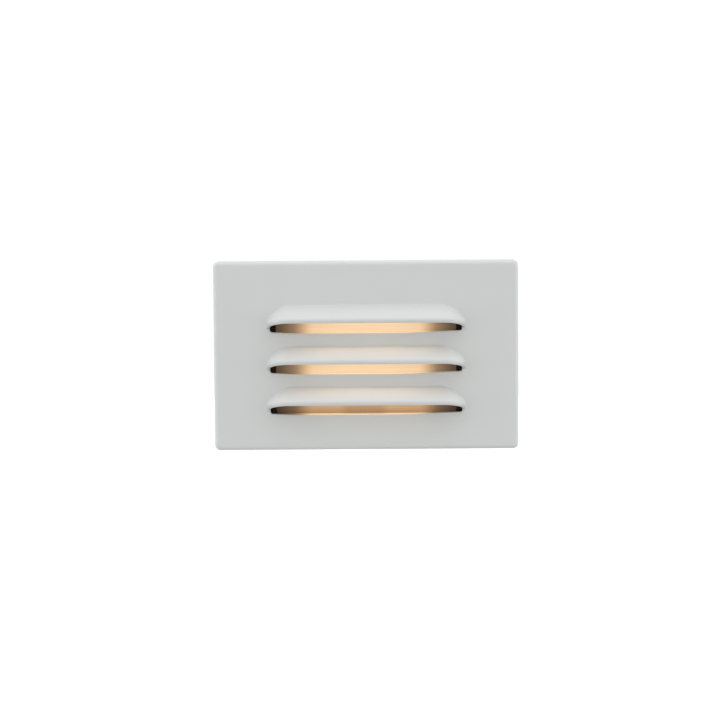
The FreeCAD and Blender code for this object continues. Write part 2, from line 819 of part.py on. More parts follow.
def terminal_block():
    front = rear_inner - block_depth
    body = column(block_width, block_depth, block_corner, block_bottom, block_bottom + block_height,
                  y=rear_inner - block_depth / 2)
    cutters = []
    half = clamp_size / 2 + clamp_fit
    for side in (-1, 1):
        x = side * terminal_pitch / 2
        cutters.append(block(x - half, x + half, terminal_axis - half, rear_inner + 1,
                             clamp_bottom - clamp_fit, clamp_top + clamp_fit))
        cutters.append(rod_z(x, terminal_axis, wire_entry_radius, block_bottom - 1,
                             block_bottom + block_height + 1))
        cutters += [rod_y(x, z, terminal_screw_access, front - 1, terminal_axis)
                    for z in terminal_screw_levels()]
    cutters.append(rod_y(0, clamp_middle, block_screw_radius + block_screw_clearance, front - 1,
                         rear_inner + 1))
    cutters.append(rod_y(0, clamp_middle, block_screw_head_radius + block_screw_clearance,
                         front - 1, front + block_screw_head_height))
    return cut(body, *cutters)


def terminal_clamp(side):
    x = side * terminal_pitch / 2
    half = clamp_size / 2
    body = block(x - half, x + half, terminal_axis - half, terminal_axis + half,
                 clamp_bottom, clamp_top)
    lower = rod_z(x, terminal_axis, wire_bore_radius, clamp_bottom - 1,
                  clamp_middle - clamp_web / 2)
    upper = rod_z(x, terminal_axis, wire_bore_radius, clamp_middle + clamp_web / 2,
                  clamp_top + 1)
    threads = [rod_y(x, z, terminal_screw_radius + terminal_screw_clearance,
                     terminal_axis - clamp_size, terminal_axis)
               for z in terminal_screw_levels()]
    return cut(body, lower, upper, *threads)


def terminal_clamps():
    return Part.makeCompound([terminal_clamp(side) for side in (-1, 1)])


def terminal_screw(x, z, tip):
    seat = tip - terminal_screw_length
    shank = rod_y(x, z, terminal_screw_radius, seat, tip)
    head = rod_y(x, z, terminal_screw_head_radius, seat - terminal_screw_head_height, seat)
    slot = shaft_slot(x, z, seat - terminal_screw_head_height, terminal_screw_head_radius)
    return cut(fuse(shank, head), slot)


def terminal_screws():
    low, high = terminal_screw_levels()
    wall_of_bore = terminal_axis - wire_bore_radius
    screws = []
    for side in (-1, 1):
        x = side * terminal_pitch / 2
        screws.append(terminal_screw(x, low, wall_of_bore + lead_screw_bite))
        screws.append(terminal_screw(x, high, wall_of_bore - wire_screw_backoff))
    return Part.makeCompound(screws)


def terminal_block_screw():
    seat = rear_inner - block_depth + block_screw_head_height
    shank = rod_y(0, clamp_middle, block_screw_radius, seat, housing_rear + block_screw_end)
    head = rod_y(0, clamp_middle, block_screw_head_radius, seat - block_screw_head_height, seat)
    slot = shaft_slot(0, clamp_middle, seat - block_screw_head_height, block_screw_head_radius)
    return cut(fuse(shank, head), slot)


def cable_bushing():
    inside = rod_y(0, bushing_height, bushing_flange_radius,
                   rear_inner - bushing_flange_thickness, rear_inner)
    neck = rod_y(0, bushing_height, bushing_neck_radius, rear_inner, housing_rear)
    outside = rod_y(0, bushing_height, bushing_flange_radius, housing_rear,
                    housing_rear + bushing_flange_thickness)
    bore = rod_y(0, bushing_height, bushing_bore_radius, rear_inner - 5, housing_rear + 5)
    return cut(fuse(inside, neck, outside), bore)


# ---------------------------------------------------------------- lamp

def capsule(radius, low, high):
    """A cylinder along Z with a round end at the top."""
    tall = rod_z(0, socket_place, radius, low, high - radius)
    dome = Part.makeSphere(radius, V(0, socket_place, high - radius))
    return fuse(tall, dome)


def lamp_envelope():
    top = lamp_shoulder + lamp_bulb_height
    outer = capsule(lamp_radius, lamp_shoulder, top)
    press = block(-wedge_width / 2, wedge_width / 2, socket_place - wedge_thickness / 2,
                  socket_place + wedge_thickness / 2, wedge_bottom, lamp_shoulder + 1)
    inner = capsule(lamp_radius - lamp_glass, lamp_shoulder + lamp_foot_glass,
                    top - lamp_glass)
    return cut(fuse(outer, press), inner)


def lamp_filament():
    level = lamp_shoulder + filament_level
    half = support_spread / 2 - support_wire_radius
    return rod_x(socket_place, level, filament_radius, -half, half)


def lamp_supports():
    level = lamp_shoulder + filament_level
    return Part.makeCompound([
        rod_z(side * support_spread / 2, socket_place, support_wire_radius,
              lamp_shoulder + lamp_foot_glass, level + support_rise) for side in (-1, 1)])


def lamp_lead_wires():
    """The wire ends folded up on the two faces of the glass wedge."""
    wires = []
    low = wedge_bottom + lamp_wire_lift
    for side in (-1, 1):
        y = socket_place + side * (wedge_thickness / 2 + lamp_wire_radius)
        wires.append(rod_z(side * contact_offset, y, lamp_wire_radius,
                           low, low + lamp_wire_length))
    return Part.makeCompound(wires)


# ---------------------------------------------------------------- write every node

os.makedirs("parts", exist_ok=True)
save("faceplate", faceplate())
save("lens_gasket", lens_gasket())
save("lens", lens())
save("lens_clip_upper", lens_clip(1))
save("lens_clip_lower", lens_clip(-1))
save("lens_clip_screws", lens_clip_screws())
save("set_screw_left", set_screw(-1))
save("set_screw_right", set_screw(1))
save("wall_gasket", wall_gasket())
save("mounting_frame", mounting_frame())
save("lamp_housing", lamp_housing())
save("housing_rivets", housing_rivets())
save("reflector", reflector())
save("reflector_rivets", reflector_rivets())
save("socket_bracket", socket_bracket())
save("bracket_rivets", bracket_rivets())
save("lamp_socket", lamp_socket())
save("socket_contacts", socket_contacts())
save("lead_live", lead("lead_live", 1))
save("lead_return", lead("lead_return", -1))
save("terminal_block", terminal_block())
save("terminal_clamps", terminal_clamps())
save("terminal_screws", terminal_screws())
save("terminal_block_screw", terminal_block_screw())
save("cable_bushing", cable_bushing())
save("lamp_envelope", lamp_envelope())
save("lamp_filament", lamp_filament())
save("lamp_supports", lamp_supports())
save("lamp_lead_wires", lamp_lead_wires())
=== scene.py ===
import math

import bmesh
import bpy
import numpy as np
from mathutils import Matrix, Vector


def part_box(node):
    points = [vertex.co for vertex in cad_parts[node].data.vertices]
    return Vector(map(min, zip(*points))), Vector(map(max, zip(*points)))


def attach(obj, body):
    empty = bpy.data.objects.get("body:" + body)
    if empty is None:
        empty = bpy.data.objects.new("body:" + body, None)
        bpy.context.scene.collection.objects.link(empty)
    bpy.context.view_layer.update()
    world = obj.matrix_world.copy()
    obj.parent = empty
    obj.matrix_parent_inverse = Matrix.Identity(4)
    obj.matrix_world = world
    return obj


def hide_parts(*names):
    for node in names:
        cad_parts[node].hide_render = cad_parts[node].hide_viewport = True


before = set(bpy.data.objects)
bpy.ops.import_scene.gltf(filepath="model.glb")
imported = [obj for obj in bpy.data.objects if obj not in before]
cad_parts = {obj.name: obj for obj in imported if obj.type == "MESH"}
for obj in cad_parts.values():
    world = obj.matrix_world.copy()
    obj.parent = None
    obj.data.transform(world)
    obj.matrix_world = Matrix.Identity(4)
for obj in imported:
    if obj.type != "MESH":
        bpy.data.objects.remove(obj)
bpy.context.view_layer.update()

# ---------------------------------------------------------------- camera
# The front view that the light is shown from: a long lens, a little above the middle
# of the plate and looking slightly down.

mm = 0.001
image_width = 720
sensor_width = 36.0
focal_pixels = 2082.0
camera_place = (1.7 * mm, -811.0 * mm, 49.0 * mm)
camera_yaw, camera_pitch, camera_roll = (math.radians(a) for a in (-0.29, -3.63, -0.41))

forward = np.array([math.sin(camera_yaw) * math.cos(camera_pitch),
                    math.cos(camera_yaw) * math.cos(camera_pitch),
                    math.sin(camera_pitch)])
level = np.array([math.cos(camera_yaw), -math.sin(camera_yaw), 0.0])
upright = np.cross(level, forward)
across = math.cos(camera_roll) * level + math.sin(camera_roll) * upright
above = math.cos(camera_roll) * upright - math.sin(camera_roll) * level

camera_turn = Matrix([list(row) for row in np.stack([across, above, -forward], axis=1)])
camera = bpy.data.objects.new("camera", bpy.data.cameras.new("camera"))
bpy.context.scene.collection.objects.link(camera)
camera.matrix_world = Matrix.Translation(camera_place) @ camera_turn.to_4x4()
camera.data.sensor_width = sensor_width
camera.data.lens = focal_pixels / image_width * sensor_width
camera.data.clip_start = 0.01
bpy.context.scene.camera = camera
bpy.context.scene.view_settings.view_transform = "Standard"

# ---------------------------------------------------------------- studio
# A broad soft bank of light overhead, tilted a little to the front, and a pale wall on
# either side. The camera, and what metal or glass shows of the room, see plain white.

bank_level = 1.8
wall_level = 3.4
bank_tilt = math.radians(70)    # over the horizon, towards the camera's side
plain_white = 1.05
floor_level = -0.5
floor_half_size = 6.0
floor_grey = 0.5
floor_glow = 0.7                # added where the camera sees it


def calculate(nodes, links, operation, *values):
    """One step of arithmetic in a shader, on numbers or on other nodes' outputs."""
    node = nodes.new("ShaderNodeMath")
    node.operation = operation
    for socket, value in zip(node.inputs, values):
        if isinstance(value, float):
            socket.default_value = value
        else:
            links.new(value, socket)
    return node.outputs[0]


def seen_directly(nodes, links):
    """1 on rays of the camera, a reflection or a clear pane, else 0."""
    rays = nodes.new("ShaderNodeLightPath").outputs
    seen = calculate(nodes, links, "MAXIMUM", rays["Is Camera Ray"], rays["Is Glossy Ray"])
    return calculate(nodes, links, "MAXIMUM", seen, rays["Is Transmission Ray"])


def light_studio():
    """Light by direction d: bank_level (d . bank)^2 + wall_level (d . x)^4."""
    world = bpy.data.worlds.new("studio")
    bpy.context.scene.world = world
    world.use_nodes = True
    nodes, links = world.node_tree.nodes, world.node_tree.links
    direction = nodes.new("ShaderNodeTexCoord")

    def cosine_to(axis):
        """The direction's cosine to an axis of unit length."""
        node = nodes.new("ShaderNodeVectorMath")
        node.operation = "DOT_PRODUCT"
        links.new(direction.outputs["Generated"], node.inputs[0])
        node.inputs[1].default_value = axis
        return node.outputs["Value"]

    to_bank = cosine_to((0.0, -math.cos(bank_tilt), math.sin(bank_tilt)))
    bank = calculate(nodes, links, "POWER", calculate(nodes, links, "MAXIMUM", to_bank, 0.0), 2.0)
    sideways = calculate(nodes, links, "ABSOLUTE", cosine_to((1.0, 0.0, 0.0)))
    walls = calculate(nodes, links, "POWER", sideways, 4.0)
    light = calculate(nodes, links, "MULTIPLY", bank, bank_level)
    light = calculate(nodes, links, "MULTIPLY_ADD", walls, wall_level, light)
    white = nodes.new("ShaderNodeMix")
    links.new(seen_directly(nodes, links), white.inputs["Factor"])
    links.new(light, white.inputs["A"])
    white.inputs["B"].default_value = plain_white
    links.new(white.outputs["Result"], nodes["Background"].inputs["Strength"])
    nodes["Background"].inputs["Color"].default_value = (1.0, 1.0, 1.0, 1.0)


light_studio()


def floor_finish():
    """Matt pale board; it adds the room's own white where the camera sees it."""
    material = bpy.data.materials.new("studio_floor")
    material.use_nodes = True
    nodes, links = material.node_tree.nodes, material.node_tree.links
    shader = nodes["Principled BSDF"]
    shader.inputs["Base Color"].default_value = (floor_grey, floor_grey, floor_grey, 1.0)
    shader.inputs["Roughness"].default_value = 0.9
    shader.inputs["Specular IOR Level"].default_value = 0.0
    shader.inputs["Emission Color"].default_value = (1.0, 1.0, 1.0, 1.0)
    glow = calculate(nodes, links, "MULTIPLY", seen_directly(nodes, links), floor_glow)
    links.new(glow, shader.inputs["Emission Strength"])
    return material


floor_corners = [(x * floor_half_size, y * floor_half_size, floor_level)
                 for x, y in ((-1, -1), (1, -1), (1, 1), (-1, 1))]
floor_mesh = bpy.data.meshes.new("floor")
floor_mesh.from_pydata(floor_corners, [], [(0, 1, 2, 3)])
floor_mesh.materials.append(floor_finish())
studio_floor = bpy.data.objects.new("floor", floor_mesh)
bpy.context.scene.collection.objects.link(studio_floor)

# ---------------------------------------------------------------- wall gasket
# Closed-cell foam ring, die cut from black sheet, squeezed between the wall and the
# frame. Its skin is matt and finely pitted.


def tone(red, green, blue):
    """A colour given as it is seen on a screen, 0 to 255, made linear for a shader."""
    shares = np.array([red, green, blue]) / 255
    linear = np.where(shares > 0.04045, ((shares + 0.055) / 1.055) ** 2.4, shares / 12.92)
    return (*(float(v) for v in linear), 1.0)


def new_finish(name):
    """A material with its nodes, its links and its shader."""
    material = bpy.data.materials.new(name)
    material.use_nodes = True
    nodes = material.node_tree.nodes
    return material, nodes, material.node_tree.links, nodes["Principled BSDF"]


def grain(nodes, links, size, stretch=(1.0, 1.0, 1.0), detail=3.0):
    """Noise fixed to the object: size is its wavelength, longer along stretched axes."""
    place = nodes.new("ShaderNodeTexCoord")
    scale = nodes.new("ShaderNodeMapping")
    scale.inputs["Scale"].default_value = [1 / (size * s) for s in stretch]
    links.new(place.outputs["Object"], scale.inputs["Vector"])
    noise = nodes.new("ShaderNodeTexNoise")
    noise.inputs["Scale"].default_value = 1.0
    noise.inputs["Detail"].default_value = detail
    links.new(scale.outputs["Vector"], noise.inputs["Vector"])
    return noise.outputs["Fac"]


def between(nodes, links, fac, low, high, start=0.3, end=0.7):
    """A number that goes from low to high as fac goes from start to end."""
    span = nodes.new("ShaderNodeMapRange")
    links.new(fac, span.inputs["Value"])
    span.inputs["From Min"].default_value = start
    span.inputs["From Max"].default_value = end
    span.inputs["To Min"].default_value = low
    span.inputs["To Max"].default_value = high
    return span.outputs["Result"]


def mixed(nodes, links, fac, first, second):
    """A colour that goes from first to second as fac goes from 0 to 1."""
    mix = nodes.new("ShaderNodeMix")
    mix.data_type = "RGBA"
    links.new(fac, mix.inputs["Factor"])
    for socket, colour in ((mix.inputs[6], first), (mix.inputs[7], second)):
        if isinstance(colour, tuple):
            socket.default_value = colour
        else:
            links.new(colour, socket)
    return mix.outputs[2]


def relief(nodes, links, height, distance, shader):
    """A bump as deep as distance that follows a height of 0 to 1."""
    bump = nodes.new("ShaderNodeBump")
    bump.inputs["Distance"].default_value = distance
    links.new(height, bump.inputs["Height"])
    links.new(bump.outputs["Normal"], shader.inputs["Normal"])


def grained(name, tones, roughness, size, stretch=(1.0, 1.0, 1.0), depth=0.0, metallic=0.0):
    """Two tones, a roughness and a relief that all follow one grain of the given size."""
    material, nodes, links, shader = new_finish(name)
    fac = grain(nodes, links, size, stretch)
    colour = mixed(nodes, links, between(nodes, links, fac, 0.0, 1.0), *tones)
    links.new(colour, shader.inputs["Base Color"])
    links.new(between(nodes, links, fac, *roughness), shader.inputs["Roughness"])
    shader.inputs["Metallic"].default_value = metallic
    if depth:
        relief(nodes, links, fac, depth, shader)
    return material


def dress(material, *node_names):
    """Give CAD nodes a material."""
    for name in node_names:
        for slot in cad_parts[name].material_slots:
            slot.material = material


dress(grained("foam_rubber", (tone(38, 38, 40), tone(58, 58, 60)),
              roughness=(0.75, 0.95), size=0.5 * mm, depth=0.08 * mm), "wall_gasket")

# ---------------------------------------------------------------- mounting frame
# Pressed from zinc-plated steel sheet, with a flange turned forward along the top and
# the bottom. The plating has dull, cloudy crystals and fine rolling lines.

crystal_size = 3.5 * mm


def plated_sheet():
    """Patches of crystals some millimetres wide, and a roughness in fine level lines."""
    material, nodes, links, shader = new_finish("zinc_sheet")
    crystals = nodes.new("ShaderNodeTexVoronoi")
    place = nodes.new("ShaderNodeTexCoord")
    links.new(place.outputs["Object"], crystals.inputs["Vector"])
    crystals.inputs["Scale"].default_value = 1 / crystal_size
    cloud = between(nodes, links, crystals.outputs["Color"], 0.0, 1.0, start=0.1, end=0.9)
    colour = mixed(nodes, links, cloud, tone(166, 169, 172), tone(196, 199, 201))
    links.new(colour, shader.inputs["Base Color"])
    lines = grain(nodes, links, size=0.25 * mm, stretch=(60.0, 1.0, 1.0))
    links.new(between(nodes, links, lines, 0.28, 0.5), shader.inputs["Roughness"])
    shader.inputs["Metallic"].default_value = 0.9
    relief(nodes, links, lines, 0.006 * mm, shader)
    return material


dress(plated_sheet(), "mounting_frame", "socket_bracket")

# ---------------------------------------------------------------- lamp housing and rivets
# Deep-drawn aluminium box, open in front, riveted to the frame through its flange. The
# draw leaves fine lines along its depth; the rivets' domed heads are bare and brighter.

dress(grained("housing_aluminium", (tone(178, 180, 183), tone(206, 207, 209)),
              roughness=(0.32, 0.5), size=0.3 * mm, stretch=(1.0, 40.0, 1.0),
              depth=0.01 * mm, metallic=0.95), "lamp_housing")
dress(grained("rivet_aluminium", (tone(190, 192, 195), tone(216, 217, 219)),
              roughness=(0.22, 0.4), size=0.6 * mm, depth=0.01 * mm, metallic=0.95),
      "housing_rivets", "reflector_rivets", "bracket_rivets")

# ---------------------------------------------------------------- reflector
# Bent from bright aluminium strip, brushed along its length, so that the lamp's light
# spreads into long streaks.

dress(grained("brushed_reflector", (tone(212, 208, 200), tone(236, 232, 224)),
              roughness=(0.18, 0.4), size=0.18 * mm, stretch=(80.0, 1.0, 1.0),
              depth=0.006 * mm, metallic=1.0), "reflector")

# ---------------------------------------------------------------- lamp socket
# A steatite body, white with a cream cast and a fine sintered grain, that snaps into its
# bracket. Two brass strips inside it grip the lamp's wires.

dress(grained("white_ceramic", (tone(222, 218, 208), tone(236, 233, 225)),
              roughness=(0.5, 0.7), size=0.35 * mm, depth=0.02 * mm), "lamp_socket")
dress(grained("contact_brass", (tone(186, 152, 84), tone(214, 184, 112)),
              roughness=(0.25, 0.45), size=0.4 * mm, stretch=(1.0, 1.0, 6.0),
              depth=0.005 * mm, metallic=1.0),
      "socket_contacts", "terminal_clamps")

# ---------------------------------------------------------------- terminal block
# Moulded in cream nylon and screwed to the housing's rear wall. Each brass clamp takes a
# lead of the lamp at one end and a supply wire at the other, under a plated screw.

dress(grained("cream_plastic", (tone(214, 206, 184), tone(226, 219, 199)),
              roughness=(0.42, 0.55), size=0.7 * mm, depth=0.015 * mm), "terminal_block")
dress(grained("plated_screw", (tone(176, 178, 180), tone(208, 209, 211)),
              roughness=(0.2, 0.38), size=0.35 * mm, depth=0.006 * mm, metallic=1.0),
      "terminal_screws", "terminal_block_screw", "lens_clip_screws")

# ---------------------------------------------------------------- leads
# Two silicone-sleeved wires, one black and one white, with tinned ends. Each runs from a
# contact of the socket to its clamp in the terminal block.


def sleeved(name, tones):
    """A satin sleeve with a faint drawn grain along the lead."""
    return grained(name, tones, roughness=(0.4, 0.55), size=0.5 * mm,
                   stretch=(1.0, 4.0, 4.0), depth=0.01 * mm)


dress(sleeved("black_insulation", (tone(34, 34, 36), tone(46, 46, 48))), "lead_live")
dress(sleeved("white_insulation", (tone(218, 217, 212), tone(230, 229, 225))), "lead_return")

# ---------------------------------------------------------------- cable bushing
# A ring of soft black rubber, pressed into the hole in the housing's rear wall where the
# supply cable comes in, that keeps it off the metal's edge.

dress(grained("bushing_rubber", (tone(28, 28, 29), tone(42, 42, 43)),
              roughness=(0.55, 0.75), size=0.6 * mm, depth=0.02 * mm), "cable_bushing")

# ---------------------------------------------------------------- lamp
# A wedge-base capsule of clear glass. Its filament stands on two supports and glows warm
# white; two lead wires are folded up the sides of the wedge.

white_hot_half = 0.8 * mm      # of the filament, each side of its middle
filament_half = 2.6 * mm


def clear_glass():
    """Clear glass with a faint cloudy haze."""
    material, nodes, links, shader = new_finish("lamp_glass")
    haze = grain(nodes, links, size=2.5 * mm)
    links.new(between(nodes, links, haze, 0.02, 0.09), shader.inputs["Roughness"])
    shader.inputs["Base Color"].default_value = (1.0, 0.985, 0.96, 1.0)
    shader.inputs["Transmission Weight"].default_value = 1.0
    shader.inputs["IOR"].default_value = 1.5
    return material


def glowing_wire():
    """Tungsten: white hot in the middle of the filament, orange towards its ends."""
    material, nodes, links, shader = new_finish("filament_wire")
    place = nodes.new("ShaderNodeTexCoord")
    parts = nodes.new("ShaderNodeSeparateXYZ")
    links.new(place.outputs["Object"], parts.inputs[0])
    off_middle = calculate(nodes, links, "ABSOLUTE", parts.outputs["X"])
    heat = between(nodes, links, off_middle, 1.0, 0.0, start=white_hot_half, end=filament_half)
    colour = mixed(nodes, links, heat, tone(255, 150, 60), tone(255, 214, 150))
    shader.inputs["Base Color"].default_value = tone(90, 86, 82)
    links.new(colour, shader.inputs["Emission Color"])
    strength = between(nodes, links, heat, 2.0, 9.0, start=0.0, end=1.0)
    links.new(strength, shader.inputs["Emission Strength"])
    shader.inputs["Roughness"].default_value = 0.5
    return material


dress(clear_glass(), "lamp_envelope")
dress(glowing_wire(), "lamp_filament")
dress(grained("lamp_wire", (tone(150, 146, 140), tone(188, 184, 176)),
              roughness=(0.25, 0.45), size=0.3 * mm, stretch=(1.0, 1.0, 5.0),
              metallic=1.0), "lamp_supports", "lamp_lead_wires")

# ---------------------------------------------------------------- lens and its fixings
# Frosted glass with the lamp's light from behind painted on as a glow, seen through a
# black silicone gasket and held to the faceplate by two spring-steel clips with four screws.

louvre_count = 3
louvre_pitch = 15.75 * mm
top_sill = 8.65 * mm
low_sill = top_sill - (louvre_count - 1) * louvre_pitch

glow_white = tone(247, 211, 167)
glow_edge = tone(247, 202, 155)
glow_low = tone(247, 193, 138)

# Where the glow changes, start and end, sideways from the middle of the glass.
slope_span = (6.0 * mm, 20.0 * mm)
core_span = (20.0 * mm, 28.5 * mm)
gloom_span = (25.5 * mm, 35.0 * mm)     # the reflector's ends leave the glass in shade
warm_span = (16.0 * mm, 26.0 * mm)
# The socket's painted shadow, low on the glass: its middle, and how far it spreads.
socket_shadow_middle = -0.7 * mm
socket_shadow_span = (5.6 * mm, 10.6 * mm)     # from the socket's own middle

# The same, going up from the lowest sill.
low_louvre_span = (3.0 * mm, 9.0 * mm)
# How high the socket's painted shadow reaches.
socket_shadow_top_span = (4.5 * mm, 8.0 * mm)
foot_shade_span = (0.5 * mm, 3.0 * mm)
line_span = (0.3 * mm, 0.48 * mm)       # a line of light along the glass's lowest edge
low_colour_span = (4.0 * mm, 8.0 * mm)

# How bright each place is, as a share of the glass beside it.
slope_share = 0.94
core_share = 0.33
gloom_share = 0.27
low_louvre_share = 0.66
socket_shadow_share = 0.79
foot_shade_share = 0.72
line_share = 1.45


def painted_glow_glass():
    """Frosted glass with the lamp's light and shade painted into it as a glow.

    Brightness is a product of shares: it falls from a plateau in the middle to dim ends,
    is lower in the lowest louvre, lower again in the socket's painted shadow and in painted
    shade along the foot but for one bright line, and is streaked with painted reflections
    of the reflector's brushing.
    """
    material, nodes, links, shader = new_finish("frosted_glass")
    place = nodes.new("ShaderNodeTexCoord")
    parts = nodes.new("ShaderNodeSeparateXYZ")
    links.new(place.outputs["Object"], parts.inputs[0])
    x, z = parts.outputs["X"], parts.outputs["Z"]

    def calculated(operation, *values):
        """One step of arithmetic in this shader."""
        return calculate(nodes, links, operation, *values)

    def eased(value, span, low, high):
        """low before the span, high after it, and a soft step from one to the other."""
        step = nodes.new("ShaderNodeMapRange")
        step.interpolation_type = "SMOOTHSTEP"
        links.new(value, step.inputs["Value"])
        for name, number in (("From Min", span[0]), ("From Max", span[1]),
                             ("To Min", low), ("To Max", high)):
            step.inputs[name].default_value = number
        return step.outputs["Result"]

    def rising(span, low, high):
        """The same step, going up from the lowest sill."""
        return eased(z, (low_sill + span[0], low_sill + span[1]), low, high)

    off_middle = calculated("ABSOLUTE", x)
    core = eased(off_middle, core_span, 1.0, core_share)
    slope = eased(off_middle, slope_span, 1.0, slope_share)
    gloom = eased(off_middle, gloom_span, 1.0, gloom_share)
    low_louvre = rising(low_louvre_span, low_louvre_share, 1.0)
    # Painted shadow of the lamp socket over the low middle of the glass.
    from_socket_shadow = calculated("ABSOLUTE", calculated("SUBTRACT", x, socket_shadow_middle))
    socket = calculated("MAXIMUM", eased(from_socket_shadow, socket_shadow_span, socket_shadow_share, 1.0),
                        rising(socket_shadow_top_span, socket_shadow_share, 1.0))
    line = rising(line_span, 1.0, 0.0)
    # Painted shade along the glass's foot, but for one painted line of light.
    foot = calculated("MAXIMUM", rising(foot_shade_span, foot_shade_share, 1.0),
                      calculated("MULTIPLY", line, line_share))
    # Painted reflections: streaks of the lamp's light along the reflector's brushing.
    brushing = grain(nodes, links, size=0.5 * mm, stretch=(40.0, 1.0, 1.0))
    painted_streak = between(nodes, links, brushing, 0.96, 1.04)
    strength = core
    for factor in (slope, gloom, low_louvre, socket, foot, painted_streak):
        strength = calculated("MULTIPLY", strength, factor)
    warmth = eased(off_middle, warm_span, 0.0, 1.0)
    colour = mixed(nodes, links, warmth, glow_white, glow_edge)
    lowness = calculated("SUBTRACT", rising(low_colour_span, 1.0, 0.0), line)
    colour = mixed(nodes, links, lowness, colour, glow_low)
    links.new(colour, shader.inputs["Emission Color"])
    links.new(strength, shader.inputs["Emission Strength"])
    shader.inputs["Base Color"].default_value = tone(48, 44, 40)
    shader.inputs["Roughness"].default_value = 0.6
    shader.inputs["Specular IOR Level"].default_value = 0.2
    return material


dress(painted_glow_glass(), "lens")

# The silicone's lighter brown cast is the lamp's warm light near the lens, painted into its colour.
silicone = grained("black_silicone", (tone(28, 23, 19), tone(38, 32, 27)),
                   roughness=(0.6, 0.8), size=0.6 * mm, depth=0.01 * mm)
silicone.node_tree.nodes["Principled BSDF"].inputs["Specular IOR Level"].default_value = 0.1
dress(silicone, "lens_gasket")
dress(grained("spring_steel", (tone(150, 153, 158), tone(186, 188, 192)),
              roughness=(0.22, 0.4), size=0.25 * mm, stretch=(40.0, 1.0, 1.0),
              depth=0.005 * mm, metallic=1.0),
      "lens_clip_upper", "lens_clip_lower")

# ---------------------------------------------------------------- light from the lens
# What the lamp sends out through the louvres. The glow of the glass is in its material;
# this unseen light, just in front of it, warms the hoods and the plate under each slot.

spill_white = tone(247, 216, 190)
spill_level = 3.2              # its radiance
spill_size = (48.0 * mm, 52.0 * mm)
spill_place = (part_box("lens")[0].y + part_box("lens_gasket")[0].y) / 2
lamp_light = bpy.data.lights.new("lamp_light", "AREA")
lamp_light.shape = "RECTANGLE"
lamp_light.size, lamp_light.size_y = spill_size
lamp_light.color = spill_white[:3]
lamp_light.energy = spill_level * math.pi * lamp_light.size * lamp_light.size_y
lamp_glow = bpy.data.objects.new("lamp_light", lamp_light)
lamp_glow.matrix_world = (Matrix.Translation((0.0, spill_place, 0.0))
                          @ Matrix.Rotation(math.radians(-90), 4, "X"))
lamp_glow.visible_camera = lamp_glow.visible_glossy = lamp_glow.visible_transmission = False
bpy.context.scene.collection.objects.link(lamp_glow)
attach(lamp_glow, "cover")

# ---------------------------------------------------------------- faceplate
# One aluminium casting: an open-backed tray with rolled edges and three hooded louvres,
# each open along its lower side. Satin white powder coat softens every edge. Two set
# screws hold it on from below.

plate_low, plate_high = (np.array(corner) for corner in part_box("faceplate"))
half_width, half_height = plate_high[0], plate_high[2]
front_wall = 2.0 * mm
side_wall = 2.2 * mm
plate_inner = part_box("lens_gasket")[0].y
plate_front = plate_inner - front_wall
plate_rim = plate_high[1]
corner_radius = 2.2 * mm
inner_corner = 1.1 * mm
edge_radius = 1.8 * mm
rim_radius = 0.3 * mm
root_radius = 0.5 * mm          # inside, where the walls meet the front

hood_top = 10.85 * mm
lip_bead = 0.25 * mm            # of coat, along the lip's lower edge
hood_lip = 4.7 * mm - lip_bead
hood_foot = 2.1 * mm
hood_half = 29.3 * mm           # half of the straight middle stretch
hood_reach = plate_front - plate_low[1]
hood_wall = 1.2 * mm
slot_corner = 1.0 * mm
crease = 0.35 * mm              # coat and fillet where a hood meets the plate
lip_round = 2.7 * mm
lip_pull = 1.25                 # how close the lip's roll comes to its corner
lip_edge = 0.15 * mm            # inside
sill_round = 0.35 * mm
roll_rise = 0.35                # how far the roll's corner stands over the lip, of its length
roll_share = 0.85               # of the lip's thickness that the roll takes
end_share = 0.3                 # of a hood's path, the most that a rounding of the lip takes
sill_rises = ((1, 13.0 * mm, 0.8 * mm), (-1, 26.0 * mm, 0.45 * mm))    # side, start, most

# Spots on a hood's side view, from its top to its lip: shares of its reach and its drop.
crown_spots = np.array([(0.0, 0.0), (0.47, 0.245), (0.81, 0.61), (0.94, 0.85), (1.0, 1.0)])

boss_radius = 2.9 * mm
boss_gap = 0.25 * mm            # between the set screws' bosses and the frame's flange
screw_clearance = 0.03 * mm
pad_half = (8.0 * mm, 2.0 * mm)
pad_gap = 0.1 * mm
clip_boss_radius = 1.9 * mm
clip_screw_radius = 1.0 * mm
clip_screw_head = 1.75 * mm
clip_screw_depth = 3.2 * mm
bite = 0.5 * mm                 # how far a form runs into the wall that carries it

# Steps across the plate, along its sides and round its section.
middle_steps, shoulder_steps, field_steps, side_steps, corner_steps = 24, 12, 8, 12, 8
turn_steps, small_turn_steps = 8, 4

# Rows over a hood from its crease to its slot, and on the plate round it.
crease_rows, crown_rows, lip_rows, inner_rows, wall_rows, sill_rows = 5, 30, 10, 12, 4, 5
field_rows = 6
ring_gap = 0.8 * mm             # from a hood's edge to the first row round it
foot_gap = 2.0 * mm             # from a hood's foot to where the plate's columns fan out

outline_points, skin_points = 400, 160      # of the fine paths that the steps are cut from
hair = 0.01 * mm                # shorter than any step
rod_sides = 48
sharp_angle = math.radians(40)

